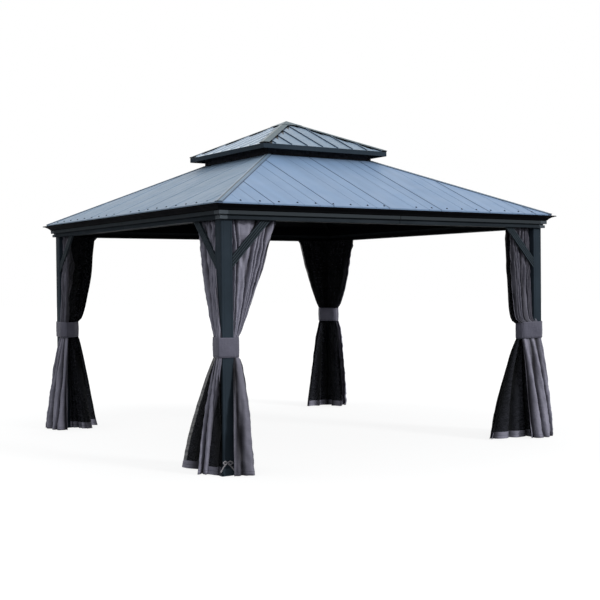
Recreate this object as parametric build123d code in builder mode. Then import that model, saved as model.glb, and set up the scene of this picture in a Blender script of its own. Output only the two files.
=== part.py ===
"""Square hardtop gazebo: four posts with braces, a stepped cornice with gutters, a two-tier
ribbed hip roof with a vented neck, and tied-back curtains. Millimetres, +Z up, origin on the
ground under the apex. The front side faces -Y, and its left-hand corner is at -X, -Y."""

import os
from math import ceil, cos, hypot, radians, sin, sqrt, tan

from build123d import *

os.makedirs("parts", exist_ok=True)

# Plan and heights
post_span = 3460.0
clear_height = 1964.0
roof_pitch = 24.6
seat_gap = 0.2
joint_gap = 0.5
cut_over = 60.0

# Posts and feet
post_w = 100.0
post_wall = 3.0
post_r = 8.0
post_groove_w = 4.0
post_groove_depth = 1.2
post_groove_share = 0.3
foot_plate_w = 150.0
foot_plate_t = 6.0
foot_plate_r = 10.0
foot_collar_h = 46.0
foot_collar_t = 4.0
anchor_spacing = 125.0
anchor_r = 5.0

# Braces
brace_run = 350.0
brace_drop = 370.0
brace_w = 62.0
brace_depth = 18.0
brace_setback = 2.0
brace_groove_w = 6.0
brace_groove_depth = 5.0
brace_groove_shares = (0.22, 0.5, 0.78)

# Cornice: beam with two bands and a shadow groove, corner blocks, gutter above
beam_w = 80.0
beam_h = 67.0
beam_wall = 3.0
upper_band_h = 30.0
lower_band_h = 26.0
upper_band_out = 37.0
lower_band_out = 25.0
band_groove_out = 14.0
band_r = 3.0
gutter_out = 100.0
gutter_h = 47.0
gutter_t = 3.0
gutter_floor = 60.0
gutter_lip_h = 8.0
cove_sag = 8.0

# Curtain rail with two tracks
rail_w = 56.0
rail_h = 26.0
track_spacing = 28.0
track_w = 18.0
track_h = 14.0
track_lip = 3.0
track_slot = 8.0

# Roof frame
rafter_w = 40.0
rafter_h = 50.0
neck_span = 1188.0
ring_w = 40.0
ring_h = 60.0
vent_h = 43.0
vent_post_w = 30.0

# Main roof sheets
panel_t = 2.0
panel_setback = 30.0
panel_seam_pitch = 575.0
panel_seam_offset = 145.0
panel_seam_w = 8.0
panel_seam_h = 3.0
panel_bead_w = 6.0
panel_bead_h = 1.0
panel_bead_shares = (0.5, 0.76)
panel_hem_h = 11.0
hip_cap_w = 30.0
hip_cap_t = 6.0

# Upper roof sheets
upper_overhang = 106.0
fascia_h = 40.0
fascia_t = 2.0
rib_pitch = 172.0
rib_offset = 54.0
rib_w = 7.0
rib_h = 11.0
upper_cap_w = 43.0
cap_t = 2.0
apex_cap_half = 114.0
cap_stop_share = 0.62

# Curtains and ties
curtain_gap = 20.0
curtain_depth = 80.0
curtain_top_w = 385.0
curtain_waist_w = 85.0
curtain_foot_w = 300.0
curtain_flare = 120.0
curtain_clear = 8.0
curtain_lift = 14.0
curtain_hang_gap = 0.3
tie_height_front_left = 903.0
tie_height_front_right = 930.0
tie_height_back_right = 1010.0
tie_height_back_left = 938.0
tie_h = 155.0
tie_t = 3.0
tie_gap = 0.3

# Places that follow from the sizes above
pitch_run = cos(radians(roof_pitch))
pitch_rise = tan(radians(roof_pitch))
pitch_tilt = sin(radians(roof_pitch))
post_half = post_span / 2
post_in = post_half - post_w
post_centre = post_half - post_w / 2
beam_out = post_half + upper_band_out
beam_in = beam_out - beam_w
beam_top = clear_height + beam_h
lip_half = post_half + gutter_out
lip_top = beam_top + gutter_h
gutter_back = beam_out - gutter_floor
neck_half = neck_span / 2
panel_eave = lip_half - panel_setback
panel_neck = neck_half + panel_t + seat_gap
upper_half = neck_half + upper_overhang
brace_in = post_half - brace_setback - brace_depth
curtain_out = brace_in - curtain_gap
curtain_in = curtain_out - curtain_depth
curtain_start = post_in - curtain_clear

SIDES = {"front": 0, "right": 90, "back": 180, "left": 270}
CORNERS = {"front_left": 0, "front_right": 90, "back_right": 180, "back_left": 270}
TIE_HEIGHTS = {
    "front_left": tie_height_front_left,
    "front_right": tie_height_front_right,
    "back_right": tie_height_back_right,
    "back_left": tie_height_back_left,
}


def main_top(n):
    """Height of the main sheets' upper face at a distance n from the middle."""
    return lip_top + (lip_half - n) * pitch_rise


def main_under(n):
    """Height of the main sheets' lower face at a distance n from the middle."""
    return main_top(n) - panel_t / pitch_run


neck_top = main_top(neck_half)
fascia_bottom = neck_top + vent_h
fascia_top = fascia_bottom + fascia_h


def upper_under(n):
    """Height of the upper sheets' lower face at a distance n from the middle."""
    return fascia_top + seat_gap + (upper_half - n) * pitch_rise


def upper_top(n):
    """Height of the upper sheets' upper face at a distance n from the middle."""
    return upper_under(n) + panel_t / pitch_run


upper_ring_top = upper_under(neck_half) - seat_gap
upper_ring_bottom = upper_ring_top - ring_h


def turned(x, y, z, turn):
    """A point or direction of the front side, carried round to another side."""
    return Vector(x, y, z).rotate(Axis.Z, turn)


def plan(turn, height):
    """Level plane at a height, seen from above, turned to a side or corner."""
    return Plane(origin=(0, 0, height), x_dir=turned(1, 0, 0, turn), z_dir=(0, 0, 1))


def post_plan(turn, height):
    """Level plane at a height, centred on a corner's post."""
    centre = turned(-post_centre, -post_centre, height, turn)
    return Plane(origin=centre, x_dir=turned(1, 0, 0, turn), z_dir=(0, 0, 1))


def elevation(turn, distance):
    """Upright plane of a side seen from outside: x to the right, y up, z outwards."""
    origin = turned(0, -distance, 0, turn)
    return Plane(origin=origin, x_dir=turned(1, 0, 0, turn), z_dir=turned(0, -1, 0, turn))


def section(turn, along):
    """Upright plane across a side: x outwards from the middle, y up, z towards the left."""
    origin = turned(along, 0, 0, turn)
    return Plane(origin=origin, x_dir=turned(0, -1, 0, turn), z_dir=turned(-1, 0, 0, turn))


def slope(turn, eave, height, lift=0):
    """Plane of a roof face: origin on its eave line, x to the right, y up the slope."""
    origin = turned(0, -eave - lift * pitch_tilt, height + lift * pitch_run, turn)
    normal = turned(0, -pitch_tilt, pitch_run, turn)
    return Plane(origin=origin, x_dir=turned(1, 0, 0, turn), z_dir=normal)


def diagonal(turn):
    """Upright plane through the middle and a left-hand corner, along that corner's hip."""
    return Plane(origin=(0, 0, 0), x_dir=turned(-1, -1, 0, turn), z_dir=turned(-1, 1, 0, turn))


def middle(turn):
    """Upright plane through the middle of a side."""
    return Plane(origin=(0, 0, 0), x_dir=turned(0, -1, 0, turn), z_dir=turned(1, 0, 0, turn))


def write(builder, name):
    """Label a finished piece and write it to its file."""
    builder.part.label = name
    export_step(builder.part, f"parts/{name}.step")


# Posts: grooved square tubes on socketed foot plates


def post_section():
    """Rounded square tube with two shallow grooves in each face."""
    RectangleRounded(post_w, post_w, post_r)
    bore = post_w - 2 * post_wall
    RectangleRounded(bore, bore, post_r - post_wall, mode=Mode.SUBTRACT)
    groove_place = post_w * post_groove_share
    with PolarLocations(post_w / 2, 4):
        with Locations((0, groove_place), (0, -groove_place)):
            Rectangle(2 * post_groove_depth, post_groove_w, mode=Mode.SUBTRACT)


for corner, turn in CORNERS.items():
    with BuildPart() as post:
        with BuildSketch(post_plan(turn, foot_plate_t)):
            post_section()
        extrude(amount=clear_height - foot_plate_t)
    write(post, f"post_{corner}")

    with BuildPart() as foot:
        with BuildSketch(post_plan(turn, 0)):
            RectangleRounded(foot_plate_w, foot_plate_w, foot_plate_r)
            with GridLocations(anchor_spacing, anchor_spacing, 2, 2):
                Circle(anchor_r, mode=Mode.SUBTRACT)
        extrude(amount=foot_plate_t)
        with BuildSketch(post_plan(turn, foot_plate_t)):
            socket = post_w + 2 * seat_gap
            outside = socket + 2 * foot_collar_t
            RectangleRounded(outside, outside, post_r + seat_gap + foot_collar_t)
            RectangleRounded(socket, socket, post_r + seat_gap, mode=Mode.SUBTRACT)
        extrude(amount=foot_collar_h)
    write(foot, f"foot_{corner}")


# Braces: grooved flat bars from each post to the beams on both sides of it


def brace_strip(low, high):
    """Slanted strip between two distances from the brace's lower edge, cut off by the post's
    face and by the underside of the beam."""
    brace_length = hypot(brace_run, brace_drop)
    foot_z = clear_height - brace_drop
    head_x = brace_run - post_in
    Polygon(
        (-post_in, foot_z + low * brace_length / brace_run),
        (head_x - low * brace_length / brace_drop, clear_height),
        (head_x - high * brace_length / brace_drop, clear_height),
        (-post_in, foot_z + high * brace_length / brace_run),
        align=None,
    )


for corner, turn in CORNERS.items():
    with BuildPart() as braces:
        with BuildSketch(elevation(turn, brace_in)):
            brace_strip(0, brace_w)
        extrude(amount=brace_depth)
        with BuildSketch(elevation(turn, brace_in + brace_depth)):
            for share in brace_groove_shares:
                groove_low = brace_w * share - brace_groove_w / 2
                brace_strip(groove_low, groove_low + brace_groove_w)
        extrude(amount=-brace_groove_depth, mode=Mode.SUBTRACT)
        mirror(about=diagonal(turn))
    write(braces, f"braces_{corner}")


# Cornice: hollow beams in two lengths to a side, solid corner blocks


def cornice_section():
    """Beam outline with a lower band, a shadow groove and a wider upper band outside."""
    groove_bottom = clear_height + lower_band_h
    groove_top = beam_top - upper_band_h
    lower_out = post_half + lower_band_out
    groove_out = post_half + band_groove_out
    with BuildLine() as outline:
        Polyline(
            (beam_in, clear_height),
            (lower_out, clear_height),
            (lower_out, groove_bottom),
            (groove_out, groove_bottom),
            (groove_out, groove_top),
            (beam_out, groove_top),
            (beam_out, beam_top),
            (beam_in, beam_top),
            close=True,
        )
    face = make_face(outline.edges())
    fillet(face.vertices().sort_by(Axis.X)[-4:], band_r)


for side, turn in SIDES.items():
    with BuildPart() as beam:
        with BuildSketch(section(turn, -joint_gap / 2)):
            cornice_section()
            offset(amount=-beam_wall, kind=Kind.INTERSECTION, mode=Mode.SUBTRACT)
        extrude(amount=beam_in - joint_gap / 2)
        mirror(about=middle(turn))
    write(beam, f"beam_{side}")

for corner, turn in CORNERS.items():
    with BuildPart() as block:
        with BuildSketch(section(turn, -beam_in)):
            cornice_section()
        extrude(amount=beam_w)
        with BuildSketch(section(turn - 90, beam_out)):
            cornice_section()
        extrude(amount=beam_w, mode=Mode.INTERSECT)
    write(block, f"corner_block_{corner}")


# Gutters: coved troughs in two lengths to a side, mitred at the corners


def gutter_section():
    """Sheet trough: upright back under the roof sheet, floor on the beam, coved front and lip."""
    back_face = gutter_back + gutter_t
    back_top = main_under(back_face) - seat_gap
    cove_foot = (beam_out, beam_top)
    cove_head = (lip_half, lip_top - gutter_lip_h)
    inner_foot = (beam_out - gutter_t, beam_top + gutter_t)
    inner_head = (lip_half - gutter_t, lip_top - gutter_lip_h + gutter_t)
    with BuildLine() as outline:
        Polyline(cove_foot, (gutter_back, beam_top), (gutter_back, back_top), (back_face, back_top))
        Polyline((back_face, back_top), (back_face, beam_top + gutter_t), inner_foot)
        SagittaArc(inner_foot, inner_head, cove_sag)
        Polyline(inner_head, (lip_half - gutter_t, lip_top), (lip_half, lip_top), cove_head)
        SagittaArc(cove_head, cove_foot, -cove_sag)
    make_face(outline.edges())


for side, turn in SIDES.items():
    with BuildPart() as gutter:
        with BuildSketch(section(turn, -joint_gap / 2)):
            gutter_section()
        extrude(amount=lip_half)
        split(bisect_by=diagonal(turn), keep=Keep.BOTTOM)
        mirror(about=middle(turn))
    write(gutter, f"gutter_{side}")


# Curtain rails on the inner faces of the beams


def rail_section():
    """Bar with two tracks: a wide chamber over a narrow slot that opens downwards."""
    centre = beam_in - rail_w / 2
    with Locations((centre, clear_height + rail_h / 2)):
        Rectangle(rail_w, rail_h)
    chamber_place = clear_height + track_lip + track_h / 2
    with Locations((centre, chamber_place)):
        with GridLocations(track_spacing, 0, 2, 1):
            Rectangle(track_w, track_h, mode=Mode.SUBTRACT)
    with Locations((centre, clear_height)):
        with GridLocations(track_spacing, 0, 2, 1):
            Rectangle(track_slot, track_lip + track_h, mode=Mode.SUBTRACT)


with BuildPart() as curtain_rails:
    rail_end = beam_in - rail_w - joint_gap
    for turn in SIDES.values():
        with BuildSketch(section(turn, rail_end)):
            rail_section()
        extrude(amount=2 * rail_end)
write(curtain_rails, "curtain_rails")


# Roof frame: hip and side rafters, the neck's rings and posts


def rafter_drop():
    """How far a flat-topped hip rafter lies under the hip, so its edges meet both sheets."""
    return rafter_w / 2 * pitch_rise / sqrt(2) + seat_gap


with BuildPart() as hip_rafters:
    hip_low = gutter_back * sqrt(2) - rafter_w / 2 - seat_gap
    hip_high = neck_half * sqrt(2) + seat_gap
    low_z = main_under(hip_low / sqrt(2)) - rafter_drop()
    high_z = main_under(hip_high / sqrt(2)) - rafter_drop()
    for turn in CORNERS.values():
        with BuildSketch(diagonal(turn)):
            Polygon(
                (hip_low, low_z),
                (hip_low, low_z - rafter_h),
                (hip_high, high_z - rafter_h),
                (hip_high, high_z),
                align=None,
            )
        extrude(amount=rafter_w / 2, both=True)
write(hip_rafters, "hip_rafters")

with BuildPart() as side_rafters:
    side_low = gutter_back - seat_gap
    side_high = neck_half + seat_gap
    low_z = main_under(side_low) - seat_gap
    high_z = main_under(side_high) - seat_gap
    for turn in SIDES.values():
        with BuildSketch(section(turn, 0)):
            Polygon(
                (side_low, low_z),
                (side_low, low_z - rafter_h),
                (side_high, high_z - rafter_h),
                (side_high, high_z),
                align=None,
            )
        extrude(amount=rafter_w / 2, both=True)
write(side_rafters, "side_rafters")


def mitred_frame(outer, width):
    """Four bars round a square, mitred at the corners with a hairline between them."""
    inner = outer - width
    with PolarLocations(0, 4):
        Polygon(
            (joint_gap - outer, -outer),
            (outer - joint_gap, -outer),
            (inner - joint_gap, -inner),
            (joint_gap - inner, -inner),
            align=None,
        )


with BuildPart() as roof_ring:
    with BuildSketch(plan(0, neck_top - ring_h)):
        mitred_frame(neck_half, ring_w)
    extrude(amount=ring_h)
write(roof_ring, "roof_ring")

with BuildPart() as vent_posts:
    with BuildSketch(plan(0, neck_top)):
        ring_middle = neck_half - ring_w / 2
        with PolarLocations(ring_middle, 4):
            Rectangle(vent_post_w, vent_post_w)
        with PolarLocations(ring_middle * sqrt(2), 4, start_angle=45, rotate=False):
            Rectangle(vent_post_w, vent_post_w)
    extrude(amount=upper_ring_bottom - neck_top)
write(vent_posts, "vent_posts")

with BuildPart() as upper_ring:
    with BuildSketch(plan(0, upper_ring_bottom)):
        mitred_frame(neck_half, ring_w)
    extrude(amount=ring_h)
write(upper_ring, "upper_ring")

with BuildPart() as upper_rafters:
    hip_end = (neck_half - ring_w) * sqrt(2) - rafter_w / 2 - seat_gap
    end_z = upper_under(hip_end / sqrt(2)) - rafter_drop()
    peak_z = upper_under(0) - rafter_drop()
    for turn in (0, 90):
        with BuildSketch(diagonal(turn)):
            Polygon(
                (-hip_end, end_z),
                (0, peak_z),
                (hip_end, end_z),
                (hip_end, end_z - rafter_h),
                (0, peak_z - rafter_h),
                (-hip_end, end_z - rafter_h),
                align=None,
            )
        extrude(amount=rafter_w / 2, both=True)
write(upper_rafters, "upper_rafters")


# Main roof: seamed sheets between the hips, and flat caps along the hips


def roof_face(eave, top, inset, mode=Mode.ADD):
    """One face of a hip roof on its slope, from an eave up to a level edge or a point, kept
    a distance inside the two hips."""
    tip = max(top - inset, joint_gap)
    rise = (eave - inset - tip) / pitch_run
    Polygon(
        (inset - eave, 0),
        (eave - inset, 0),
        (tip, rise),
        (-tip, rise),
        align=None,
        mode=mode,
    )


def hip_inset(width):
    """Distance along the eave that takes up a cap's width square to the hip."""
    return width * hypot(1, pitch_run)


sheet_inset = panel_t + joint_gap
main_rise = (panel_eave - panel_neck) / pitch_run
seam_count = ceil(panel_eave / panel_seam_pitch)
seam_places = [k * panel_seam_pitch - panel_seam_offset for k in range(-seam_count, seam_count + 1)]
bead_places = [seam + panel_seam_pitch * share for seam in seam_places for share in panel_bead_shares]


def roof_ribs(places, width):
    """Ribs of one width up the slope, ended at the edges of the hip caps."""
    with Locations(*[(place, main_rise / 2) for place in places]):
        Rectangle(width, main_rise)
    roof_face(panel_eave, panel_neck, cap_inset, mode=Mode.INTERSECT)


cap_inset = hip_inset(hip_cap_w) + joint_gap

for side, turn in SIDES.items():
    main_slope = slope(turn, panel_eave, main_top(panel_eave))
    with BuildPart() as panel:
        with BuildSketch(main_slope):
            roof_face(panel_eave, panel_neck, sheet_inset)
        extrude(amount=-panel_t)
        with BuildSketch(elevation(turn, panel_eave - panel_t)):
            with Locations((0, main_top(panel_eave) - panel_hem_h / 2)):
                Rectangle(2 * (panel_eave - sheet_inset), panel_hem_h)
        extrude(amount=panel_t)
        with BuildSketch(main_slope):
            roof_ribs(seam_places, panel_seam_w)
        extrude(amount=panel_seam_h)
        with BuildSketch(main_slope):
            roof_ribs(bead_places, panel_bead_w)
        extrude(amount=panel_bead_h)
    write(panel, f"roof_panel_{side}")


def hip_strip(eave, stop, width):
    """Strip along the left-hand hip of a roof face, wide enough to be cut back to the hip."""
    rise = (eave - stop) / pitch_run
    inside = hip_inset(width)
    Polygon(
        (-eave - cut_over, 0),
        (inside - eave, 0),
        (inside - stop, rise),
        (-stop - cut_over, rise),
        align=None,
    )


for corner, turn in CORNERS.items():
    with BuildPart() as hip_cap:
        with BuildSketch(slope(turn, panel_eave, main_top(panel_eave))):
            hip_strip(panel_eave, panel_neck, hip_cap_w)
        extrude(amount=hip_cap_t)
        split(bisect_by=diagonal(turn), keep=Keep.BOTTOM)
        mirror(about=diagonal(turn))
    write(hip_cap, f"hip_cap_{corner}")


# Upper roof: tall ribs, caps that ride on the ribs, an apex cap and a fascia

upper_rise = upper_half / pitch_run
rib_count = ceil(upper_half / rib_pitch)
rib_limit = upper_half - hip_inset(upper_cap_w) - rib_w
rib_row = [k * rib_pitch - rib_offset for k in range(-rib_count, rib_count + 1)]
rib_places = [place for place in rib_row if abs(place) < rib_limit]

for side, turn in SIDES.items():
    upper_slope = slope(turn, upper_half, upper_top(upper_half))
    with BuildPart() as upper_panel:
        with BuildSketch(upper_slope):
            roof_face(upper_half, 0, sheet_inset)
        extrude(amount=-panel_t)
        with BuildSketch(upper_slope):
            with Locations(*[(place, upper_rise / 2) for place in rib_places]):
                Rectangle(rib_w, upper_rise)
            roof_face(upper_half, 0, sheet_inset, mode=Mode.INTERSECT)
        extrude(amount=rib_h)
    write(upper_panel, f"upper_panel_{side}")

for corner, turn in CORNERS.items():
    with BuildPart() as upper_cap:
        with BuildSketch(slope(turn, upper_half, upper_top(upper_half), rib_h)):
            hip_strip(upper_half, apex_cap_half * cap_stop_share, upper_cap_w)
        extrude(amount=cap_t)
        with BuildSketch(slope(turn, upper_half, upper_top(upper_half), seat_gap)):
            hip_strip(upper_half, upper_half - cap_t, upper_cap_w)
        extrude(amount=rib_h - seat_gap)
        split(bisect_by=diagonal(turn), keep=Keep.BOTTOM)
        mirror(about=diagonal(turn))
    write(upper_cap, f"upper_cap_{corner}")

with BuildPart() as apex_cap:
    apex_lift = (rib_h + cap_t + seat_gap) / pitch_run
    cap_peak = upper_top(0) + apex_lift + cap_t / pitch_run
    cap_edge = cap_peak - apex_cap_half * pitch_rise
    for turn, mode in ((0, Mode.ADD), (90, Mode.INTERSECT)):
        with BuildSketch(section(turn, 0)):
            Polygon(
                (-apex_cap_half, cap_edge),
                (0, cap_peak),
                (apex_cap_half, cap_edge),
                align=None,
            )
        extrude(amount=apex_cap_half, both=True, mode=mode)
    offset(amount=-cap_t, openings=apex_cap.faces().sort_by(Axis.Z)[0])
write(apex_cap, "apex_cap")

with BuildPart() as fascia:
    with BuildSketch(plan(0, fascia_bottom)):
        mitred_frame(upper_half, fascia_t)
    extrude(amount=fascia_h)
write(fascia, "fascia")


# Curtains: a gathered bundle on each side of a post, held by one tie


def bundle_outline(width, flare=0):
    """Plan of the bundle beside a front left-hand post, from the post towards the opening, and
    flared outwards below the tie."""
    centre = curtain_start - width / 2
    depth_centre = (curtain_in + curtain_out + flare) / 2
    with Locations((-centre, -depth_centre)):
        Rectangle(width, curtain_depth + flare)


def tied_outline(clear):
    """Plan outline stretched round a post and the waists of its two bundles."""
    with Locations((-post_centre, -post_centre)):
        RectangleRounded(post_w, post_w, post_r)
    bundle_outline(curtain_waist_w)
    mirror(about=diagonal(0))
    make_hull()
    offset(amount=clear)


for corner, turn in CORNERS.items():
    tie_height = TIE_HEIGHTS[corner]
    bundle_levels = [
        (clear_height - curtain_hang_gap, curtain_top_w, 0),
        (tie_height + tie_h, curtain_waist_w, 0),
        (tie_height, curtain_waist_w, 0),
        (curtain_lift, curtain_foot_w, curtain_flare),
    ]
    with BuildPart() as curtains:
        for height, width, flare in bundle_levels:
            with BuildSketch(plan(turn, height)):
                bundle_outline(width, flare)
        loft(ruled=True)
        mirror(about=diagonal(turn))
    write(curtains, f"curtains_{corner}")

    with BuildPart() as tie:
        with BuildSketch(plan(turn, tie_height)):
            tied_outline(tie_gap + tie_t)
        extrude(amount=tie_h)
        with BuildSketch(plan(turn, tie_height)):
            tied_outline(tie_gap)
        extrude(amount=tie_h, mode=Mode.SUBTRACT)
    write(tie, f"tie_{corner}")
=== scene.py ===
"""Looks of the square hardtop gazebo: coated metal, seamed roof sheets, and gathered curtains
and nettings tied back at the posts. Metres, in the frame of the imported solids: +Z up, the
front side faces -Y, the origin is on the ground under the apex."""
from math import cos, hypot, pi, radians, sin

import bpy
import numpy as np
from mathutils import Matrix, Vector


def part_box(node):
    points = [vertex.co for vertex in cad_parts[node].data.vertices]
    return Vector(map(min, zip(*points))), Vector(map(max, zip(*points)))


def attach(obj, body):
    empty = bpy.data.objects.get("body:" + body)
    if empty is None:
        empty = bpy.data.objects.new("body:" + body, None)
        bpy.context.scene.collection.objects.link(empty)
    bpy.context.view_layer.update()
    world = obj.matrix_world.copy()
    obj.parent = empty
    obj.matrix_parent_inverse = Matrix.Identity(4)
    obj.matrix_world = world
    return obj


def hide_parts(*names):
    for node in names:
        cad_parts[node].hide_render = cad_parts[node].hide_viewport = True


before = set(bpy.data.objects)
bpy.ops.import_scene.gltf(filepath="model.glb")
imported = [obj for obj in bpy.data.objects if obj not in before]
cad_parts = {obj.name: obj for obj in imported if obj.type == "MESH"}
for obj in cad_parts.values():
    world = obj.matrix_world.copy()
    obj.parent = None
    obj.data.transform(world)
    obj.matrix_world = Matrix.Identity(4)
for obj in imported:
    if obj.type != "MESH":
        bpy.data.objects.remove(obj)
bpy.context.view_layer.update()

# Sizes read from the frame
post_low, post_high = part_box("post_front_left")
POST_OUT = -post_low.x
POST_IN = -post_high.x
RAIL_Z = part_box("curtain_rails")[0].z
LIP_OUT = -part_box("gutter_front")[0].y
EAVE_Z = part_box("roof_panel_front")[0].z
GUTTER_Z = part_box("gutter_front")[0].z
BEAM_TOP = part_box("beam_front")[1].z
RING_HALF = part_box("roof_ring")[1].x
RING_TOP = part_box("roof_ring")[1].z
UPPER_RING_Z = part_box("upper_ring")[0].z

# Camera solved on the picture's corner points, in a frame of 600 by 600 pixels
FRAME_PX = 600
CAMERA_PLACE = (-5.7267, -8.7801, 1.4778)
CAMERA_YAW = 33.764
CAMERA_PITCH = -0.9715
CAMERA_ROLL = 0.561
CAMERA_FOCAL_PX = 1059.6
SENSOR_MM = 36.0

# Roof, with the pitch and first place of its seams, beads and ribs along an eave
ROOF_PITCH = 24.6
PANEL_SETBACK = 0.030
PANEL_HEM = 0.011
SEAM_PITCH = 0.575
SEAM_START = -0.145
SCREW_PITCH = 0.175
SCREW_UP = 0.042
SCREW_COUNT = 9
CAP_REACH = hypot(1, cos(radians(ROOF_PITCH)))
HIP_CAP_W = 0.030
UPPER_CAP_W = 0.043
RIB_PITCH = 0.172
RIB_START = 0.054
NOTCH_W = 0.055
NOTCH_SHARE = 0.5

# Frame details
UPPER_BAND_H = 0.030
BRACE_SETBACK = 0.002
BRACE_GROOVE = 0.005
FOOT_PLATE_T = 0.006
ANCHOR_SPACING = 0.125

# Cloth
CURTAIN_FLAT = (1.65, 1.94)
NETTING_FLAT = (1.60, 1.92)
CLOTH_TOP = RAIL_Z - 0.001
CLOTH_HEM = 0.006
POST_CLEAR = 0.004
CLOTH_T = 0.0012
CURTAIN_GRID = (256, 88)
NETTING_GRID = (160, 64)
NETTING_HEM = 0.075

SIDE_OUT = {"front": (0, -1), "right": (1, 0), "back": (0, 1), "left": (-1, 0)}
CORNER_SIGN = {
    "front_left": (-1, -1),
    "front_right": (1, -1),
    "back_right": (1, 1),
    "back_left": (-1, 1),
}


# Meshes from arrays


def grid_faces(rows, columns, wrap_rows=False, wrap_columns=False):
    """Quads between neighbouring points of a rows by columns grid, closed round where asked."""
    row = np.arange(rows if wrap_rows else rows - 1)
    column = np.arange(columns if wrap_columns else columns - 1)
    i, j = np.meshgrid(row, column, indexing="ij")
    below, right = (i + 1) % rows, (j + 1) % columns
    quads = [i * columns + j, i * columns + right, below * columns + right, below * columns + j]
    return np.stack(quads, -1).reshape(-1, 4)


def make_piece(name, points, faces, materials, slot, uv=None, material_of_face=None, valley=None):
    """A shaded mesh object at the origin that rides on the gazebo; the record slot it is given is not
    used.
    """
    mesh = bpy.data.meshes.new(name)
    mesh.from_pydata(points.reshape(-1, 3).tolist(), [], faces.tolist())
    if uv is not None:
        layer = mesh.uv_layers.new(name="cloth")
        layer.data.foreach_set("uv", uv.reshape(-1, 2)[faces.ravel()].ravel())
    # The valley attribute holds depth in a fold's valley, which the cloth finishes paint as shade
    if valley is not None:
        mesh.attributes.new("valley", "FLOAT", "POINT").data.foreach_set("value", valley.ravel())
    for material in materials:
        mesh.materials.append(material)
    if material_of_face is not None:
        mesh.polygons.foreach_set("material_index", material_of_face.astype(np.int32))
    mesh.shade_smooth()
    mesh.update()
    piece = bpy.data.objects.new(name, mesh)
    bpy.context.scene.collection.objects.link(piece)
    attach(piece, "root")
    return piece


def smooth_noise(x, seed, waves=5, low=0.6, high=2.6):
    """Sum of sine waves with drawn frequencies and phases, about -1 to 1, over x from 0 to 1."""
    draw = np.random.default_rng(seed)
    rate = draw.uniform(low, high, waves) * 2 * pi
    phase = draw.uniform(0, 2 * pi, waves)
    weight = draw.uniform(0.5, 1.0, waves)
    total = np.sum(weight * np.sin(np.multiply.outer(x, rate) + phase), -1)
    return total / np.sqrt(np.sum(weight**2) / 2) / 2


def smooth_step(x):
    """0 below 0, 1 above 1, and a smooth cubic between."""
    x = np.clip(x, 0, 1)
    return x * x * (3 - 2 * x)


# Materials

DARK = (0.004, 0.0045, 0.005)
# Tint of the painted shade in lines on a roof sheet: seams, beads, cap edges and rib sides
LINE_SHADE_TINT = (0.055, 0.075, 0.12)
# Lighter tint of a beam's upper band, a painted highlight
BAND_HIGHLIGHT_TINT = (0.052, 0.062, 0.070)
# Paler tint towards the foot of a gutter's cove, painted light
COVE_LIGHT_TINT = (0.011, 0.012, 0.014)
NETTING_TINT = (0.022, 0.023, 0.029)
COAT_SPREAD = 0.14
CLOUD_RANGE = (0.3, 0.7)
ROOF_ROUGHNESS = 0.42
ROOF_SPECULAR = 0.12
CLOTH_SPECULAR = 0.1
# Distances over which marks fade on the frame: at a joint, in a groove, at a beam's band, up a gutter
JOINT_FADE = (0.002, 0.004)
GROOVE_FADE = (0.0015, 0.0035)
BAND_FADE = 0.002
COVE_FADE = (0.010, 0.030)
SHADOW_UNDER_GUTTER_FADE = (0.006, 0.009)
# Lines of painted shade on a roof sheet, at a seam and two beads, at shares of the seams' pitch; the
# seams are real joints
LINE_SHARES = (0.0, 0.5, 0.76)
LINE_W = 0.010
CAP_EDGE_FADE = (0.006, 0.012)
NOTCH_FADE = 0.003
RIDGE_FADE = (0.008, 0.012)
# Cloth: pitch of packing creases, how far they wander and their width, and the stitched line's
# height and fade
CREASE_PITCH = 0.31
TIE_CREASE_PITCH = 0.5
CREASE_WOBBLE = 0.16
CREASE_W = 0.010
STITCH_UP = 0.03
TIE_STITCH_UP = 0.012
STITCH_FADE = (0.001, 0.003)
THREADS = 190.0


def new_finish(name):
    """A node material, its tree and its main shader."""
    material = bpy.data.materials.new(name)
    material.use_nodes = True
    return material, material.node_tree, material.node_tree.nodes["Principled BSDF"]


def add_node(tree, kind, links=None, **sockets):
    """A shader node with plain socket values and incoming links, both by socket name."""
    node = tree.nodes.new("ShaderNode" + kind)
    for socket, value in sockets.items():
        node.inputs[socket].default_value = value
    for socket, source in (links or {}).items():
        tree.links.new(source, node.inputs[socket])
    return node


def turned(tree, vector, turn):
    """A vector turned about the upright axis, in degrees."""
    made = add_node(tree, "Mapping", {"Vector": vector}, Rotation=(0, 0, radians(turn)))
    return made.outputs["Vector"]


def coordinates(tree, kind, turn=0.0):
    """Object or UV coordinates, turned about the upright axis."""
    return turned(tree, tree.nodes.new("ShaderNodeTexCoord").outputs[kind], turn)


def stretched(tree, vector, *scale):
    """Coordinates scaled on each axis."""
    return add_node(tree, "Mapping", {"Vector": vector}, Scale=scale).outputs["Vector"]


def axis_of(tree, vector, axis):
    """One axis of a vector."""
    return add_node(tree, "SeparateXYZ", {"Vector": vector}).outputs[axis]


def maths(tree, operation, *values):
    """A math node on links and plain numbers."""
    made = tree.nodes.new("ShaderNodeMath")
    made.operation = operation
    for socket, value in zip(made.inputs, values):
        if isinstance(value, (int, float)):
            socket.default_value = value
        else:
            tree.links.new(value, socket)
    return made.outputs["Value"]


def mixed(tree, factor, first, second):
    """A colour from the first to the second as a factor goes from 0 to 1."""
    made = tree.nodes.new("ShaderNodeMix")
    made.data_type = "RGBA"
    tree.links.new(factor, made.inputs[0])
    for socket, colour in ((made.inputs[6], first), (made.inputs[7], second)):
        if isinstance(colour, tuple):
            socket.default_value = (*colour, 1)
        else:
            tree.links.new(colour, socket)
    return made.outputs[2]


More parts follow.
